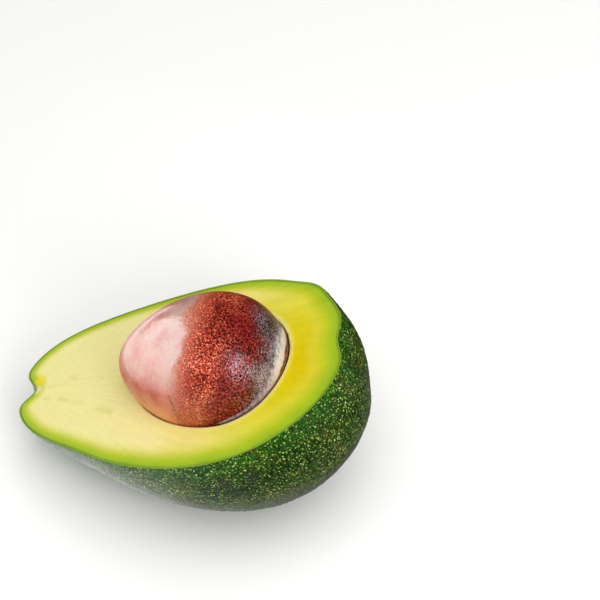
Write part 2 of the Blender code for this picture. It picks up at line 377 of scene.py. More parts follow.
push = node(tree, "VectorMath", {0: node(tree, "GeometryNodeInputNormal"), "Scale": lift},
            operation="SCALE")
marked = node(tree, "GeometryNodeStoreNamedAttribute", {
    "Geometry": size["Geometry"], "Name": "pebble_crown", "Value": dome}, data_type="FLOAT", domain="POINT")
moved = node(tree, "GeometryNodeSetPosition", {"Geometry": marked, "Offset": push})
close_growth(tree, moved, size["Finish"])

rings, outside, below_cut, cut_edge = [], [], [], []
for dip in np.linspace(90, 0.4, PEEL_RINGS):
    ways, distance = outside_reach(np.arange(PEEL_COLUMNS if dip < 90 else 1) * 360 / PEEL_COLUMNS, dip)
    points = HEART + ways * distance[..., None]
    rings.append(points)
    outside.append(np.clip((points @ REST_UP - LEVEL) / FLAT_FADE, 0, 1) * min(dip / RIM_FADE_DIP, 1))
    below_cut.append((HEART - points) @ CUT_AXES[2])
    cut_edge.append(0.0)
rim_ways, rim_reach = outside_reach(np.arange(PEEL_COLUMNS) * 360 / PEEL_COLUMNS, 0.0)
for inset, lowered, bared in (
        (0, PEEL_EDGE, 0.2), (PEEL_EDGE * 0.3, PEEL_EDGE * 0.3, 0.6), (PEEL_EDGE, 0, 1),
        (PEEL_THICKNESS - PEEL_EDGE, 0, 1), (PEEL_THICKNESS, PEEL_EDGE, 1)):
    rings.append(HEART + rim_ways * (rim_reach - inset)[:, None] - lowered * CUT_AXES[2])
    outside.append(0.0)
    below_cut.append(lowered)
    cut_edge.append(bared)
for dip in INNER_DIPS:
    ways, distance = outside_reach(np.arange(PEEL_COLUMNS if dip < 90 else 1) * 360 / PEEL_COLUMNS, dip)
    rings.append(HEART + ways * (distance - PEEL_THICKNESS)[:, None])
    outside.append(0.0)
    below_cut.append(0.03)
    cut_edge.append(1.0)
peel_shell = woven("peel", rings, {"outside": outside, "below_cut": below_cut, "cut_edge": cut_edge})
grow(peel_shell, tree, PEBBLES, peel)
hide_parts("skin")
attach(peel_shell, "root")


# Flesh: buttery and firm, green under the peel and yellow towards the stone. The knife left it
# flat, a little rippled, with soft lips at the rim and round the seat that the stone grew in.
STONE_LENGTH = 0.0476
STONE_RADIUS = 0.0196
STONE_BLUNTNESS = 0.242
STONE_NEAR_SIDE = 0.957
STONE_PLACE = (0.0099, 0.0077)
SEAT_CLEARANCE = 0.00022
SEAT_SLACK = 0.00095
SEAT_SLACK_MIDDLE = -20.0
SEAT_SLACK_TURN = 52.0
FLESH_INSET = 0.0006
FLESH_COLUMNS = 480
WALL_RINGS = 14
FACE_RINGS = 120
FACE_CROWDING = 0.3
SEAT_RINGS = 34
GREEN_BAND = 0.0060
BAND_WIDEST_TURN = 330.0
BAND_SWING = 0.45
GOLD_PLACE = (0.036, 0.001, 0.0515)
KNIFE_RIPPLE = 0.00005
RIPPLE_LENGTH = 0.014
LIP_WIDTH = 0.0002
RIM_LIP_DEPTH = 0.00014
SEAT_LIP_DEPTH = 0.00025
SEAT_RIDGE_HEIGHT = 0.0001
SEAT_RIDGE_PLACE = 0.0010
SEAT_RIDGE_WIDTH = 0.0007
FLESH_CLOUD_WIDTH = 0.011
STRAND_LENGTH = 0.012
STRAND_CROWDING = 40
MOTTLE_WIDTH = 0.0011
PIT_SPOT_PLACE = (-0.0466, 0.0024, 0.0190)
PIT_WALL_PLACE = (-0.0460, -0.0010, 0.0188)
# Start, end, width and strength of each strand that the knife has left darker
STRAND_MARKS = (
    ((-0.0375, -0.0050), (-0.0345, -0.0060), 0.0006, 0.40),
    ((-0.0365, 0.0026), (-0.0345, 0.0020), 0.0008, 0.30),
    ((-0.0325, -0.0068), (-0.0290, -0.0078), 0.0007, 0.18),
    ((-0.0230, -0.0101), (-0.0185, -0.0116), 0.0010, 0.38),
    ((-0.0425, -0.0002), (-0.0370, 0.0006), 0.0007, 0.22),
    ((-0.0424, -0.0045), (-0.0410, -0.0046), 0.0006, 0.35),
    ((-0.0265, 0.0015), (-0.0258, 0.0010), 0.0004, 0.30))


def in_stone(points):
    """True where a point lies inside the stone."""
    s = (points[..., 0] - STONE_PLACE[0]) / (STONE_LENGTH / 2)
    radius = STONE_RADIUS * np.sqrt(np.clip(1 - s * s, 0, None)) * (1 + STONE_BLUNTNESS * s)
    y = np.where(points[..., 1] < 0, points[..., 1] / STONE_NEAR_SIDE, points[..., 1])
    return (abs(s) < 1) & (np.hypot(y, points[..., 2] - STONE_PLACE[1]) < radius)


def seat_reach(ways, dip):
    """Distance to the wall of the seat, roomier where the seed coat has come loose."""
    away = (turn_of(ways) - SEAT_SLACK_MIDDLE + 180) % 360 - 180
    slack = SEAT_SLACK * np.exp(-(away / SEAT_SLACK_TURN) ** 4) * np.cos(np.radians(dip)) ** 2
    return reach(ways, in_stone) + SEAT_CLEARANCE + slack


def ripples(points, longest, seed):
    """Low waves over a surface, between about -1 and 1: plane waves in seeded random directions."""
    rng = np.random.default_rng(seed)
    total = 0
    for _ in range(14):
        way = rng.normal(size=3)
        way *= 2 * np.pi / (longest * rng.uniform(0.3, 1.0) * np.linalg.norm(way))
        total = total + np.sin(points @ way + rng.uniform(0, 2 * np.pi))
    return total / 5


def from_stretch(points, start, end):
    """How far points lie from the straight stretch between two places."""
    run = np.subtract(end, start)
    from_start = points - start
    share = np.clip(from_start @ run / (run @ run), 0, 1)
    return np.linalg.norm(from_start - share[:, None] * run, axis=1)


def outline_finder(distances):
    """A search tree of a closed outline in the cut plane, given by its distance at each column."""
    fine = 8 * len(distances)
    turned = np.append(distances, distances[0])
    smooth = np.interp(np.arange(fine) / 8, np.arange(len(turned)), turned)
    finder = KDTree(fine)
    for i, point in enumerate(HEART + directions(np.arange(fine) * 360 / fine, 0.0) * smooth[:, None]):
        finder.insert(point, i)
    finder.balance()
    return finder


# Ripe avocado flesh: fatty and slightly see-through, so light spreads under its surface. A fresh
# knife cut leaves it smooth, with a soft wet sheen and faint strands running from the stem.
flesh = bpy.data.materials.new("ripe_avocado_flesh")
t = blank(flesh)
place = node(t, "TexCoord", output="Object")
cloud = node(t, "TexNoise", {"Vector": place, "Scale": 1 / FLESH_CLOUD_WIDTH, "Detail": 2.0})
# Yellowest round the stone and paler towards the neck: partly the flesh's own tone, partly painted light
# from the softbox.
gold_to_lit_pale = node(t, "VectorMath", [place, GOLD_PLACE], operation="DISTANCE")
gold_to_lit_pale = node(t, "Math", [cloud, 0.012, gold_to_lit_pale], operation="MULTIPLY_ADD")
gold_to_lit_pale = node(t, "MapRange", {"Value": gold_to_lit_pale, "From Min": 0.009, "From Max": 0.055})
core_yellow_and_lit_pale = node(t, "ValToRGB", [gold_to_lit_pale], output="Color",
            stops=[(0.0, "#dcc406"), (1.0, "#efe69b"), (0.2, "#dccd14"), (0.42, "#e2d83c"),
                   (0.57, "#e3d954"), (0.72, "#ecdf7e"), (0.86, "#eee088")])
depth = node(t, "Attribute", attribute_name="rim_depth", output="Fac")
depth = node(t, "Math", [cloud, 0.22, depth], operation="MULTIPLY_ADD")
outer = node(t, "ValToRGB", [depth], output="Color",
             stops=[(0.1, "#86a81a"), (1.0, "#d8d84e"), (0.2, "#9cba24"), (0.45, "#b0c41e"),
                    (0.7, "#c4ca28")])
mixing = node(t, "MapRange", {"Value": depth, "From Min": 0.35, "From Max": 1.35}, **EASED)
colour = node(t, "Mix", {"Factor": mixing, "A": outer, "B": core_yellow_and_lit_pale}, data_type="RGBA")
along = node(t, "Attribute", attribute_name="along", output="Fac")
across = node(t, "Attribute", attribute_name="across", output="Fac")
strand = node(t, "CombineXYZ", [along, across, 0.0])
strand = node(t, "TexNoise", {"Vector": strand, "Scale": 1.0, "Detail": 3.0})
strand = node(t, "MapRange", {
    "Value": strand, "From Min": 0.35, "From Max": 0.7, "To Min": 1.02, "To Max": 0.955})
colour = node(t, "VectorMath", {0: colour, "Scale": strand}, operation="SCALE")
mottle = node(t, "TexNoise", {"Vector": place, "Scale": 1 / MOTTLE_WIDTH, "Detail": 3.0})
shade = node(t, "MapRange", {
    "Value": mottle, "From Min": 0.3, "From Max": 0.7, "To Min": 0.975, "To Max": 1.02})
colour = node(t, "VectorMath", {0: colour, "Scale": shade}, operation="SCALE")
mark = node(t, "Attribute", attribute_name="strand_mark", output="Fac")
mark = node(t, "Math", [mark, node(t, "Math", [mottle, 1.6], operation="MULTIPLY")],
            operation="MULTIPLY")
pit = node(t, "VectorMath", [place, PIT_SPOT_PLACE], operation="DISTANCE")
pit = node(t, "Math", [mottle, 0.0012, pit], operation="MULTIPLY_ADD")
pit = node(t, "MapRange", {
    "Value": pit, "From Min": 0.0009, "From Max": 0.0036, "To Min": 0.95, "To Max": 0.0}, **EASED)
wall = node(t, "VectorMath", [place, PIT_WALL_PLACE], operation="DISTANCE")
wall = node(t, "MapRange", {
    "Value": wall, "From Min": 0.0008, "From Max": 0.0022, "To Min": 0.7, "To Max": 0.0}, **EASED)
seat = node(t, "Attribute", attribute_name="from_seat", output="Fac")
edge = node(t, "MapRange", {
    "Value": seat, "From Min": 0.0003, "From Max": 0.0018, "To Min": 0.6, "To Max": 0.0}, **EASED)
# Painted shade: the seat's wall, the hollow under the stone, is painted dark olive.
seat_wall_shade = node(t, "MapRange", {
    "Value": seat, "From Min": -0.001, "From Max": 0.0003, "To Min": 0.9, "To Max": 0.0})
for layer, paint in ((mark, "#b9b83c"), (pit, "#ecd60c"), (wall, "#f0dcae"), (edge, "#f3e7a4"),
                     (seat_wall_shade, "#8f8030")):
    colour = node(t, "Mix", {"Factor": layer, "A": colour, "B": paint}, data_type="RGBA")
relief = node(t, "Bump", {"Height": mottle, "Strength": 0.25, "Distance": 0.0001})
shader = node(t, "BsdfPrincipled", {
    "Base Color": colour, "Roughness": 0.5, "IOR": 1.45, "Specular IOR Level": 0.04, "Normal": relief,
    "Subsurface Weight": 0.2, "Subsurface Radius": (1.0, 0.7, 0.25), "Subsurface Scale": 0.002})
node(t, "OutputMaterial", [shader])

turns = np.arange(FLESH_COLUMNS) * 360 / FLESH_COLUMNS
rim_ways, rim_reach = outside_reach(turns, 0.0)
rim_reach = rim_reach - FLESH_INSET
seat_edge = seat_reach(rim_ways, 0.0)
rim_finder, seat_finder = outline_finder(rim_reach), outline_finder(seat_edge)
band_width = GREEN_BAND * (1 + BAND_SWING * np.cos(np.radians(turn_of(rim_ways) - BAND_WIDEST_TURN)))
notch = HEART + rim_ways[FLESH_COLUMNS // 2] * rim_reach[FLESH_COLUMNS // 2]

rings, rim_depth, from_seat, along, across, strand_mark = [], [], [], [], [], []
for dip in np.linspace(90, 1.0, WALL_RINGS):
    ways, distance = outside_reach(turns if dip < 90 else turns[:1], dip)
    rings.append(HEART + ways * (distance - FLESH_INSET)[..., None])
    rim_depth.append(0.0)
    from_seat.append(0.01)
for q in np.linspace(0, 1, FACE_RINGS):
    share = (1 - FACE_CROWDING) * q + FACE_CROWDING * (0.5 - 0.5 * np.cos(np.pi * q))
    points = HEART + rim_ways * (rim_reach + (seat_edge - rim_reach) * share)[:, None]
    to_rim = np.array([rim_finder.find(p)[2] for p in points])
    to_seat = np.array([seat_finder.find(p)[2] for p in points])
    lowered = RIM_LIP_DEPTH * np.exp(-(to_rim / LIP_WIDTH) ** 2)
    lowered = lowered + SEAT_LIP_DEPTH * np.exp(-(to_seat / LIP_WIDTH) ** 2)
    raised = SEAT_RIDGE_HEIGHT * np.exp(-((to_seat - SEAT_RIDGE_PLACE) / SEAT_RIDGE_WIDTH) ** 2)
    ripple = KNIFE_RIPPLE * ripples(points, RIPPLE_LENGTH, 5) * np.clip(to_rim / 0.001, 0, 1)
    rings.append(points + (raised - lowered + ripple)[:, None] * CUT_AXES[2])
    rim_depth.append(to_rim / band_width)
    from_seat.append(to_seat)
for dip in np.linspace(2.5, 90, SEAT_RINGS):
    ways = directions(turns if dip < 90 else turns[:1], dip)
    rings.append(HEART + ways * seat_reach(ways, dip)[:, None])
    rim_depth.append(2.0)
    from_seat.append(-0.001)
for points in rings:
    from_notch = (points - notch) @ CUT_AXES[:2].T
    along.append(np.hypot(from_notch[:, 0], from_notch[:, 1]) / STRAND_LENGTH)
    across.append(np.arctan2(from_notch[:, 1], from_notch[:, 0]) * STRAND_CROWDING)
    marked = np.zeros(len(points))
    for start, end, width, strength in STRAND_MARKS:
        apart = from_stretch(laid(points)[:, :2], start, end)
        marked += strength * np.exp(-(apart / width) ** 2)
    strand_mark.append(marked)
flesh_body = woven("flesh_body", rings, {
    "rim_depth": rim_depth, "from_seat": from_seat, "along": along, "across": across,
    "strand_mark": strand_mark})
flesh_body.data.materials.append(flesh)
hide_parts("flesh")
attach(flesh_body, "root")


# Stone: the seed, an egg blunt towards the blossom end, in its thin red-brown husk. It sits loose
# in its seat and stands proud of the cut.
STONE_RINGS = 290
STONE_COLUMNS = 300
CRIMSON_PLACE = (0.0190, 0.0010, 0.0600)
BROWNED_PLACE = (0.0245, 0.0066, 0.0563)
FILM_PLACE = (0.0184, -0.0121, 0.0570)
VEIN_LINE = ((0.0024, -0.0169, 0.0489), (0.0029, -0.0174, 0.0476), (0.0035, -0.0179, 0.0459),
             (0.0040, -0.0183, 0.0434), (0.0047, -0.0185, 0.0417))
VEIN_WIDTH = 0.0003
HUSK = {
    "Pit Width": 0.0010, "Pit Depth": 0.00005, "Wrinkle Width": 0.005, "Wrinkle Height": 0.00022, "Seed": 3}
HUSK_CLOUD_WIDTH = 0.007
SPECK_WIDTH = 0.0005
CRACKLE_WIDTH = 0.00075

# Avocado seed husk: a hard, thin, polished skin, mottled brick red with dark pores and darker
# blotches where it has browned. It takes a broad highlight on its smooth rosy end and a crackled
# one beyond, and a pale milky patch under the broad one is partly painted highlight. Its blunt end
# is grey, partly painted reflection, and the peach low down is painted warm light from the flesh.
# Its specks are drawn half a millimetre wide, coarser than life, so that they show.
husk = bpy.data.materials.new("avocado_seed_husk")
t = blank(husk)
place = node(t, "TexCoord", output="Object")
cloud = node(t, "TexNoise", {
    "Vector": place, "Scale": 1 / HUSK_CLOUD_WIDTH, "Detail": 4.0, "Roughness": 0.6})
speck = node(t, "TexNoise", {"Vector": place, "Scale": 1 / SPECK_WIDTH, "Detail": 3.0, "Roughness": 0.7})
tone = node(t, "Math", [cloud, 0.22, speck], operation="MULTIPLY_ADD")
red = node(t, "ValToRGB", [tone], output="Color", stops=[
    (0.525, "#280806"), (0.76, "#f6a886"), (0.57, "#841c0c"), (0.615, "#b8341c"), (0.68, "#dc5f3c")])
along = node(t, "SeparateXYZ", [place], output="X")
along = node(t, "Math", [cloud, 0.012, along], operation="MULTIPLY_ADD")
above = node(t, "Attribute", attribute_name="above_cut", output="Fac")
along = node(t, "Math", [above, -0.2, along], operation="MULTIPLY_ADD")
from_tip = node(t, "Math", [above, 0.12, along], operation="MULTIPLY_ADD")
rosy = node(t, "Math", [speck, 0.022, from_tip], operation="MULTIPLY_ADD")
rosy = node(t, "MapRange", {
    "Value": rosy, "From Min": 0.0172, "From Max": 0.0236, "To Min": 0.9, "To Max": 0.0}, **EASED)
blush = node(t, "ValToRGB", [cloud], output="Color",
             stops=[(0.38, "#c45a46"), (0.60, "#d08e76"), (0.48, "#d07256")])
polished = node(t, "MapRange", {
    "Value": from_tip, "From Min": 0.0078, "From Max": 0.0100, "To Min": 1.0, "To Max": 0.0})
high = node(t, "MapRange", {"Value": above, "From Min": 0.0095, "From Max": 0.0175})
# A pale milky patch high on the rosy end: partly a milky film, partly painted highlight.
milky_film_and_highlight = node(t, "MapRange", {
    "Value": from_tip, "From Min": -0.003, "From Max": 0.0065, "To Min": 0.0, "To Max": 0.75})
milky_film_and_highlight = node(t, "Math", [milky_film_and_highlight, polished], operation="MULTIPLY")
milky_film_and_highlight = node(t, "Math", [milky_film_and_highlight, high], operation="MULTIPLY")
# Painted warm light: peach low down near the cut, light bounced from the yellow flesh.
peach_flesh_bounce = node(t, "MapRange", {
    "Value": above, "From Min": 0.0, "From Max": 0.010, "To Min": 0.85, "To Max": 0.0}, **EASED)
for layer, paint in ((milky_film_and_highlight, "#ccb4ac"), (peach_flesh_bounce, "#fcb27a")):
    blush = node(t, "Mix", {"Factor": layer, "A": blush, "B": paint}, data_type="RGBA")
orange = node(t, "MapRange", {
    "Value": along, "From Min": 0.015, "From Max": 0.026, "To Min": 0.62, "To Max": 0.0}, **EASED)
low_down = node(t, "MapRange", {
    "Value": above, "From Min": 0.001, "From Max": 0.014, "To Min": 1.0, "To Max": 0.0}, **EASED)
orange = node(t, "Math", [orange, low_down], operation="MULTIPLY")
for layer, paint in ((orange, "#ba6138"), (rosy, blush)):
    red = node(t, "Mix", {"Factor": layer, "A": red, "B": paint}, data_type="RGBA")
crimson = node(t, "VectorMath", [place, CRIMSON_PLACE], operation="DISTANCE")
crimson = node(t, "Math", [cloud, 0.006, crimson], operation="MULTIPLY_ADD")
crimson = node(t, "MapRange", {
    "Value": crimson, "From Min": 0.006, "From Max": 0.015, "To Min": 0.95, "To Max": 0.0}, **EASED)
ripened = node(t, "MapRange", {
    "Value": along, "From Min": 0.0165, "From Max": 0.0215, "To Min": 0.0, "To Max": 0.8}, **EASED)
crimson = node(t, "Math", [crimson, ripened], operation="MAXIMUM")
red = node(t, "Mix", {"Factor": crimson, "A": red, "B": (0.30, 0.055, 0.12, 1.0)},
           data_type="RGBA", blend_type="MULTIPLY")
# Grey-browns for the browned blotch and for the blunt end, whose grey is partly painted reflection.
ash_and_sheen = node(t, "ValToRGB", [tone], output="Color", stops=[
    (0.525, "#160c0e"), (0.76, "#989098"), (0.59, "#322428"), (0.66, "#62545c")])
browned_and_sheen = node(t, "VectorMath", [place, BROWNED_PLACE], operation="DISTANCE")
browned_and_sheen = node(t, "Math", [cloud, 0.012, browned_and_sheen], operation="MULTIPLY_ADD")
browned_and_sheen = node(t, "MapRange", {
    "Value": browned_and_sheen, "From Min": 0.0095, "From Max": 0.0162, "To Min": 0.9, "To Max": 0.0}, **EASED)
# The grey of the blunt end and the pale film over it: partly a thin film on the husk, partly painted
# reflection.
blunt_sheen = node(t, "MapRange", {
    "Value": along, "From Min": 0.0256, "From Max": 0.0312, "To Min": 0.0, "To Max": 0.92}, **EASED)
browned_and_sheen = node(t, "Math", [browned_and_sheen, blunt_sheen], operation="MAXIMUM")
filmed_sheen = node(t, "MapRange", {
    "Value": along, "From Min": 0.0270, "From Max": 0.0322, "To Min": 0.0, "To Max": 0.62}, **EASED)
bare = node(t, "MapRange", {
    "Value": tone, "From Min": 0.56, "From Max": 0.66, "To Min": 0.3, "To Max": 1.15})
filmed_sheen = node(t, "Math", [filmed_sheen, bare], operation="MULTIPLY")
ash_and_sheen = node(t, "Mix", {"Factor": filmed_sheen, "A": ash_and_sheen, "B": "#c0a8a8"}, data_type="RGBA")
pore = node(t, "TexVoronoi", {"Vector": place, "Scale": 1 / HUSK["Pit Width"]}, output="Distance")
chance = node(t, "MapRange", {
    "Value": pore.node.outputs["Color"], "From Min": 0.3, "From Max": 0.8, "To Min": 0.1, "To Max": 0.9})
pore = node(t, "MapRange", {
    "Value": pore, "From Min": 0.14, "From Max": 0.28, "To Min": 1.0, "To Max": 0.0})
pore = node(t, "Math", [pore, chance], operation="MULTIPLY")
smooth = node(t, "MapRange", {"Value": rosy, "To Min": 1.0, "To Max": 0.2})
pore = node(t, "Math", [pore, smooth], operation="MULTIPLY")
vein = node(t, "Attribute", attribute_name="vein", output="Fac")
broken = node(t, "MapRange", {"Value": speck, "From Min": 0.4, "From Max": 0.55})
vein = node(t, "Math", [vein, broken], operation="MULTIPLY")
for layer, paint in ((browned_and_sheen, ash_and_sheen), (pore, "#240806"), (vein, "#4c1810")):
    red = node(t, "Mix", {"Factor": layer, "A": red, "B": paint}, data_type="RGBA")
crackle = node(t, "TexVoronoi", {"Vector": place, "Scale": 1 / CRACKLE_WIDTH, "Detail": 1.0},
               feature="DISTANCE_TO_EDGE")
crackle = node(t, "MapRange", {"Value": crackle, "From Min": 0.0, "From Max": 0.25})
height = node(t, "Math", [crackle, 0.5, speck], operation="MULTIPLY_ADD")
height = node(t, "Math", [height, smooth], operation="MULTIPLY")
grazing = node(t, "LayerWeight", {"Blend": 0.5}, output="Facing")
calmer = node(t, "MapRange", {
    "Value": grazing, "From Min": 0.45, "From Max": 0.85, "To Min": 0.9, "To Max": 0.06})
relief = node(t, "Bump", {"Height": height, "Strength": calmer, "Distance": 0.00016})
lines = node(t, "MapRange", {
    "Value": crackle, "From Min": 0.1, "From Max": 0.6, "To Min": 1.0, "To Max": 0.1})
film = node(t, "VectorMath", [place, FILM_PLACE], operation="DISTANCE")
film = node(t, "MapRange", {
    "Value": film, "From Min": 0.0045, "From Max": 0.011, "To Min": 1.0, "To Max": 0.3})
lines = node(t, "Math", [lines, film], operation="MULTIPLY")
shine = node(t, "MapRange", {"Value": high, "To Min": 0.2, "To Max": 0.9})
polish = node(t, "Mix", {"Factor": polished, "A": lines, "B": shine}, data_type="FLOAT")
dimmer = node(t, "MapRange", {
    "Value": grazing, "From Min": 0.45, "From Max": 0.9, "To Min": 1.0, "To Max": 0.15})
polish = node(t, "Math", [polish, dimmer], operation="MULTIPLY")
ridges = node(t, "Math", [crackle, smooth], operation="MULTIPLY")
ridges = node(t, "Bump", {"Height": ridges, "Strength": calmer, "Distance": 0.000045})
shader = node(t, "BsdfPrincipled", {
    "Base Color": red, "Roughness": 0.35, "IOR": 1.5, "Specular IOR Level": 0.07, "Normal": relief,
    "Coat Weight": polish, "Coat Roughness": 0.12, "Coat IOR": 1.7, "Coat Normal": ridges})
node(t, "OutputMaterial", [shader])

# The husk's relief: shallow pits where the pores are, and the long low swellings of a dried skin.
tree, size = growth("husk_relief", HUSK)
seed = node(tree, "CombineXYZ", [size["Seed"], size["Seed"], size["Seed"]])
place = node(tree, "VectorMath", [node(tree, "GeometryNodeInputPosition"), seed], operation="ADD")
per_width = node(tree, "Math", [1.0, size["Pit Width"]], operation="DIVIDE")
pit = node(tree, "TexVoronoi", {"Vector": place, "Scale": per_width})
pit = node(tree, "MapRange", {
    "Value": pit, "From Min": 0.1, "From Max": 0.45, "To Min": -1.0, "To Max": 0.0}, **EASED)
pit = node(tree, "Math", [pit, size["Pit Depth"]], operation="MULTIPLY")
per_width = node(tree, "Math", [1.0, size["Wrinkle Width"]], operation="DIVIDE")
wrinkle = node(tree, "TexNoise", {"Vector": place, "Scale": per_width, "Detail": 2.0})
wrinkle = node(tree, "Math", [wrinkle, 0.5], operation="SUBTRACT")
lift = node(tree, "Math", [wrinkle, size["Wrinkle Height"], pit], operation="MULTIPLY_ADD")
push = node(tree, "VectorMath", {0: node(tree, "GeometryNodeInputNormal"), "Scale": lift},
            operation="SCALE")
moved = node(tree, "GeometryNodeSetPosition", {"Geometry": size["Geometry"], "Offset": push})
close_growth(tree, moved, size["Finish"])

rings, above_cut, vein = [], [], []
around = np.arange(STONE_COLUMNS) * 2 * np.pi / STONE_COLUMNS
for s in -np.cos(np.linspace(0, np.pi, STONE_RINGS)):
    radius = STONE_RADIUS * np.sqrt(max(1 - s * s, 0)) * (1 + STONE_BLUNTNESS * s)
    x = STONE_PLACE[0] + s * STONE_LENGTH / 2
    side = np.cos(around) * np.where(np.cos(around) < 0, STONE_NEAR_SIDE, 1)
    circle = [np.full(STONE_COLUMNS, x), radius * side, STONE_PLACE[1] + radius * np.sin(around)]
    rings.append(np.stack(circle, axis=1)[:STONE_COLUMNS if radius > 1e-6 else 1])
    above_cut.append((rings[-1] - HEART) @ CUT_AXES[2])
    drawn = np.zeros(len(rings[-1]))
    for start, end in zip(VEIN_LINE, VEIN_LINE[1:]):
        apart = from_stretch(laid(rings[-1]), start, end)
        drawn = np.maximum(drawn, np.exp(-(apart / VEIN_WIDTH) ** 2))
    vein.append(drawn)
stone_body = woven("stone_body", rings, {"above_cut": above_cut, "vein": vein})
grow(stone_body, tree, HUSK, husk)
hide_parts("stone")
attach(stone_body, "root")


# Seed coat: the papery layer between flesh and stone. Round the blunt end it has come loose, one
# leaf still on the stone, the other standing up along the seat with a torn brown edge.
COAT_TURNS = (-62.0, 44.0)
COAT_STEPS = 240
COAT_THICKNESS = 0.00014
FRESH_TURN = 9.0
FRESH_SPREAD = 28.0
STALE_WIDTH = 0.10
FRESH_WIDTH = 1.42
EDGE_PER_DEGREE = 0.0006
WIDTH_WAVE = 0.008
WIDTH_SWING = 0.12
FRAY_WAVE = 0.0035
FRAY_HEIGHT = 0.0005
STALE_DROP = 0.0028
PAPER_CLOUD_WIDTH = 0.0016
PAPER_SPECK_WIDTH = 0.0008
# Distance off the stone and height above the cut, from the top of one leaf to the other's tear
COAT_LINE = ((0.00004, 0.0044), (0.00008, 0.0028), (0.00012, 0.0012), (0.00014, 0.0000), (0.00018, -0.0008),
             (0.00030, -0.0010), (0.00040, -0.0006), (0.00046, 0.0), (0.00054, 0.0004), (0.00068, 0.0007))
FIBRES = {"Fibre Length": 0.0019, "Fibre Width": 0.00005, "Fibre Share": 0.3, "Seed": 4}

# Dry plant paper, pressed flat between flesh and stone as it grew: matt, cream where it is fresh,
# browned and brittle along the tear, and speckled where it thins out over the husk.
coat = bpy.data.materials.new("papery_seed_coat")
t = blank(coat)
place = node(t, "TexCoord", output="Object")
leaf = node(t, "Attribute", attribute_name="leaf", output="Fac")
cloud = node(t, "TexNoise", {
    "Vector": place, "Scale": 1 / PAPER_CLOUD_WIDTH, "Detail": 4.0, "Roughness": 0.65})
leaf = node(t, "Math", [cloud, 0.22, leaf], operation="MULTIPLY_ADD")
paper = node(t, "ValToRGB", [leaf], output="Color", stops=[
    (0.10, "#66565c"), (1.0, "#6e3814"), (0.16, "#a0929a"), (0.27, "#e2d8d6"), (0.42, "#fbeacb"),
    (0.72, "#ecc08e"), (0.93, "#c0742e")])
fresh = node(t, "Attribute", attribute_name="fresh", output="Fac")
stale = node(t, "MapRange", {
    "Value": fresh, "From Min": 0.1, "From Max": 0.8, "To Min": 0.75, "To Max": 0.0})
speck = node(t, "TexNoise", {
    "Vector": place, "Scale": 1 / PAPER_SPECK_WIDTH, "Detail": 4.0, "Roughness": 0.7})
speck = node(t, "MapRange", {
    "Value": speck, "From Min": 0.42, "From Max": 0.52, "To Min": 0.8, "To Max": 0.0})
upper = node(t, "MapRange", {
    "Value": leaf, "From Min": 0.12, "From Max": 0.36, "To Min": 1.0, "To Max": 0.0})
upper = node(t, "Math", [upper, stale], operation="MAXIMUM")
speck = node(t, "Math", [speck, upper], operation="MULTIPLY")
for layer, paint in ((stale, "#8a6e74"), (speck, "#33201e")):
    paper = node(t, "Mix", {"Factor": layer, "A": paper, "B": paint}, data_type="RGBA")
relief = node(t, "Bump", {"Height": cloud, "Strength": 0.6, "Distance": 0.0002})
shader = node(t, "BsdfPrincipled", {
    "Base Color": paper, "Roughness": 0.6, "IOR": 1.45, "Normal": relief,
    "Subsurface Weight": 0.2, "Subsurface Radius": (1.0, 0.6, 0.3), "Subsurface Scale": 0.001})
node(t, "OutputMaterial", [shader])

# The torn edge: short stiff fibres standing out from the end of the paper, each a thin cone.
tree, size = growth("torn_seed_coat", FIBRES)
leaf = node(tree, "GeometryNodeInputNamedAttribute", {"Name": "leaf"}, data_type="FLOAT")
at_tear = node(tree, "FunctionNodeCompare", {"A": leaf, "B": 0.999}, operation="GREATER_THAN")
lucky = node(tree, "FunctionNodeRandomValue", {"Probability": size["Fibre Share"], "Seed": size["Seed"]},
             data_type="BOOLEAN")
fresh = node(tree, "GeometryNodeInputNamedAttribute", {"Name": "fresh"}, data_type="FLOAT")
fresh = node(tree, "FunctionNodeCompare", {"A": fresh, "B": 0.5}, operation="GREATER_THAN")
chosen = node(tree, "FunctionNodeBooleanMath", [at_tear, lucky], operation="AND")
chosen = node(tree, "FunctionNodeBooleanMath", [chosen, fresh], operation="AND")
roots = node(tree, "GeometryNodeMeshToPoints", {"Mesh": size["Geometry"], "Selection": chosen})
outward = node(tree, "VectorMath", [node(tree, "GeometryNodeInputPosition"), tuple(laid(HEART))],
               operation="SUBTRACT")
outward = node(tree, "VectorMath", [outward], operation="NORMALIZE")
stray = node(tree, "FunctionNodeRandomValue", {
    "Min": (-0.9, -0.9, -0.35), "Max": (0.9, 0.9, 0.1), "Seed": size["Seed"]}, data_type="FLOAT_VECTOR")
outward = node(tree, "VectorMath", [outward, stray], operation="ADD")
turned = node(tree, "FunctionNodeAlignRotationToVector", {"Vector": outward}, axis="Z")
fibre = node(tree, "GeometryNodeMeshCone", {
    "Vertices": 5, "Radius Top": 0.0, "Radius Bottom": size["Fibre Width"], "Depth": size["Fibre Length"]})
fibre = node(tree, "GeometryNodeStoreNamedAttribute", {"Geometry": fibre, "Name": "leaf", "Value": 1.0},
             data_type="FLOAT", domain="POINT")
fibre = node(tree, "GeometryNodeStoreNamedAttribute", {"Geometry": fibre, "Name": "fresh", "Value": 1.0},
             data_type="FLOAT", domain="POINT")
length = node(tree, "FunctionNodeRandomValue", {"Min": 0.15, "Max": 1.2, "Seed": size["Seed"]},
              data_type="FLOAT")
length = node(tree, "CombineXYZ", [1.0, 1.0, length])
fibres = node(tree, "GeometryNodeInstanceOnPoints", {
    "Points": roots, "Instance": fibre, "Rotation": turned, "Scale": length})
joined = tree.nodes.new("GeometryNodeJoinGeometry")
tree.links.new(fibres, joined.inputs[0])
tree.links.new(size["Geometry"], joined.inputs[0])
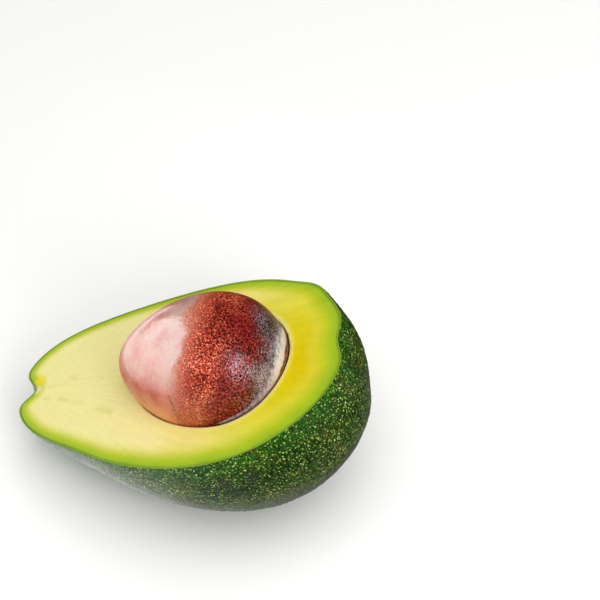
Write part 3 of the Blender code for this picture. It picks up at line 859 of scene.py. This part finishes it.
close_growth(tree, joined.outputs[0], size["Finish"])

line = np.array(COAT_LINE)
knots = np.linspace(0, 1, len(line))
steps = np.linspace(0, 1, 28)
offs, heights = (np.interp(steps, knots, line[:, k]) for k in (0, 1))
slope = np.stack([np.gradient(offs), np.gradient(heights)], axis=1)
slope /= np.linalg.norm(slope, axis=1, keepdims=True)
half = COAT_THICKNESS / 2 * (0.25 + 0.75 * np.sin(np.pi * np.clip(steps, 0.02, 0.98)) ** 0.5)
rings, leaves, freshness = [], [], []
for turn in np.linspace(*COAT_TURNS, COAT_STEPS):
    middle, spread = sum(COAT_TURNS) / 2, (COAT_TURNS[1] - COAT_TURNS[0]) / 2
    fullness = np.sqrt(max(1 - ((turn - middle) / spread) ** 2, 0))
    level = np.cos(np.radians(turn)) * CUT_AXES[0] + np.sin(np.radians(turn)) * CUT_AXES[1]
    rim = reach(level, in_stone)
    along_edge = np.array((turn * EDGE_PER_DEGREE, 0.0, 0.0))
    fresh = np.exp(-((turn - FRESH_TURN) / FRESH_SPREAD) ** 2)
    wide = (STALE_WIDTH + FRESH_WIDTH * fresh) * (1 + WIDTH_SWING * ripples(along_edge, WIDTH_WAVE, 11))
    frayed = FRAY_HEIGHT * fresh * ripples(along_edge, FRAY_WAVE, 12) - STALE_DROP * (1 - fresh)
    outer = np.clip(steps * 4 - 3, 0, 1)
    rise = heights * fullness * np.where(steps < 0.3, wide, 1) + frayed * fullness * outer
    across_leaf = np.stack([-slope[:, 1], slope[:, 0]], axis=1) * half[:, None] * max(fullness, 0.05)
    loop = []
    freshness.append(fresh)
    for side in (1, -1):
        off = offs * (0.3 + 0.7 * fullness) + side * across_leaf[:, 0]
        up = rise + side * across_leaf[:, 1]
        ways = level * rim + up[:, None] * CUT_AXES[2]
        ways /= np.linalg.norm(ways, axis=1, keepdims=True)
        loop.append((HEART + ways * (reach(ways, in_stone) + off)[:, None])[::side])
    points = np.concatenate(loop)
    if fullness < 1e-6:
        rings.append(points.mean(axis=0)[None])
        leaves.append(0.5)
    else:
        rings.append(points)
        leaves.append(np.concatenate([steps, steps[::-1]]))
seed_paper = woven("seed_paper", rings, {"leaf": leaves, "fresh": freshness})
grow(seed_paper, tree, FIBRES, coat)
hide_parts("seed_coat")
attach(seed_paper, "root")


# Studio: a matte white table under pale light from all round. A wide softbox stands beyond the neck
# end, a small lamp at the right front and a soft panel overhead. The first two are each one light
# for the matt colour and one for the gloss, and a glowing patch of table shows in the gloss alone.
FLOOR_SIZE = 3.0
ROOM_LIGHT = 0.48
ROOM_GLOSS = 0.12
STAGE_COLOUR = "#fafaf8"
CARD_GLOW = 1.85
CARD_START, CARD_END = -0.09, 0.20

# Matte white table: painted board, which throws soft light back and shows no gloss.
table = bpy.data.materials.new("matte_white_table")
t = blank(table)
shader = node(t, "BsdfPrincipled", {"Base Color": STAGE_COLOUR, "Roughness": 0.9,
                                    "Specular IOR Level": 0.1})
node(t, "OutputMaterial", [shader])
mesh = bpy.data.meshes.new("floor")
reach_out = FLOOR_SIZE / 2
mesh.from_pydata([(-reach_out, -reach_out, 0), (reach_out, -reach_out, 0), (reach_out, reach_out, 0),
                  (-reach_out, reach_out, 0)], [], [(0, 1, 2, 3)])
mesh.materials.append(table)
floor = bpy.data.objects.new("floor", mesh)
scene.collection.objects.link(floor)


def lamp(name, place, aim, width, height, brightness, lights_matter, shows_in_gloss, colour=(1, 1, 1)):
    """A flat soft light. Brightness is its glow, 1 being a white table in full light."""
    data = bpy.data.lights.new(name, "AREA")
    data.color = colour
    data.shape = "RECTANGLE"
    data.size = width
    data.size_y = height
    data.energy = brightness * width * height * np.pi
    obj = bpy.data.objects.new(name, data)
    obj.location = place
    obj.rotation_euler = (Vector(place) - Vector(aim)).to_track_quat("Z", "Y").to_euler()
    obj.visible_diffuse = lights_matter
    obj.visible_glossy = shows_in_gloss
    obj.visible_camera = False
    scene.collection.objects.link(obj)


lamp("softbox_gloss", (-0.6, -0.06, 0.39), (0.0, -0.06, 0.39), 1.12, 0.77, 3.9, False, True)
lamp("table_glow", (-0.30, -0.10, 0.001), (-0.30, -0.10, 1.0), 0.42, 0.5, 2.6, False, True)
lamp("softbox", (-0.6, -0.06, 0.39), (0.0, -0.06, 0.39), 1.12, 0.77, 0.4, True, False)
lamp("front_gloss", (0.49, -0.28, 0.44), (0.0, 0.0, 0.05), 0.26, 0.36, 8.8, False, True, (1.0, 0.84, 0.96))
lamp("front_lamp", (0.44, -0.39, 0.44), (0.0, 0.0, 0.05), 0.26, 0.26, 8.0, True, False)
lamp("overhead", (0.2, -0.15, 0.95), (0.0, 0.0, 0.0), 0.9, 0.9, 2.3, True, False)

# Two cards, seen in the gloss alone: an upright dark one keeps the white table out of the stone,
# and one lying on the table glows, fading from bright under the neck to dark under the blossom end.
dark_card = bpy.data.materials.new("matte_dark_card")
t = blank(dark_card)
shader = node(t, "BsdfPrincipled", {
    "Base Color": "#1c2a14", "Roughness": 0.9, "Specular IOR Level": 0.0})
node(t, "OutputMaterial", [shader])

glow_card = bpy.data.materials.new("graded_glow_card")
t = blank(glow_card)
place = node(t, "TexCoord", output="Object")
along = node(t, "SeparateXYZ", [place], output="X")
along = node(t, "MapRange", {"Value": along, "From Min": CARD_START, "From Max": CARD_END})
grey = node(t, "ValToRGB", [along], output="Color", stops=[
    (0.0, "#c8c8c8"), (1.0, "#34383c"), (0.2, "#fcfcfc"), (0.27, "#f0f0f0"), (0.33, "#a8a8a8"),
    (0.42, "#828282"), (0.52, "#505458")])
shader = node(t, "Emission", {"Color": grey, "Strength": CARD_GLOW})
node(t, "OutputMaterial", [shader])

for name, finish, corners in (
        ("rear_flag", dark_card,
         ((-0.035, 0.052, 0.001), (0.08, 0.052, 0.001), (0.08, 0.052, 0.12), (-0.035, 0.052, 0.12))),
        ("glowing_card", glow_card,
         ((CARD_START, -0.35, 0.001), (CARD_END, -0.35, 0.001), (CARD_END, 0.15, 0.001),
          (CARD_START, 0.15, 0.001)))):
    mesh = bpy.data.meshes.new(name)
    mesh.from_pydata(corners, [], [(0, 1, 2, 3)])
    mesh.materials.append(finish)
    card = bpy.data.objects.new(name, mesh)
    card.visible_camera = card.visible_diffuse = card.visible_shadow = False
    scene.collection.objects.link(card)

world = bpy.data.worlds.new("studio")
t = blank(world)
in_gloss = node(t, "LightPath", output="Is Glossy Ray")
strength = node(t, "MapRange", {"Value": in_gloss, "To Min": ROOM_LIGHT, "To Max": ROOM_GLOSS})
room = node(t, "Background", {"Color": (1.0, 1.0, 1.0, 1.0), "Strength": strength})
node(t, "OutputWorld", [room])
scene.world = world
scene.view_settings.view_transform = "Standard"
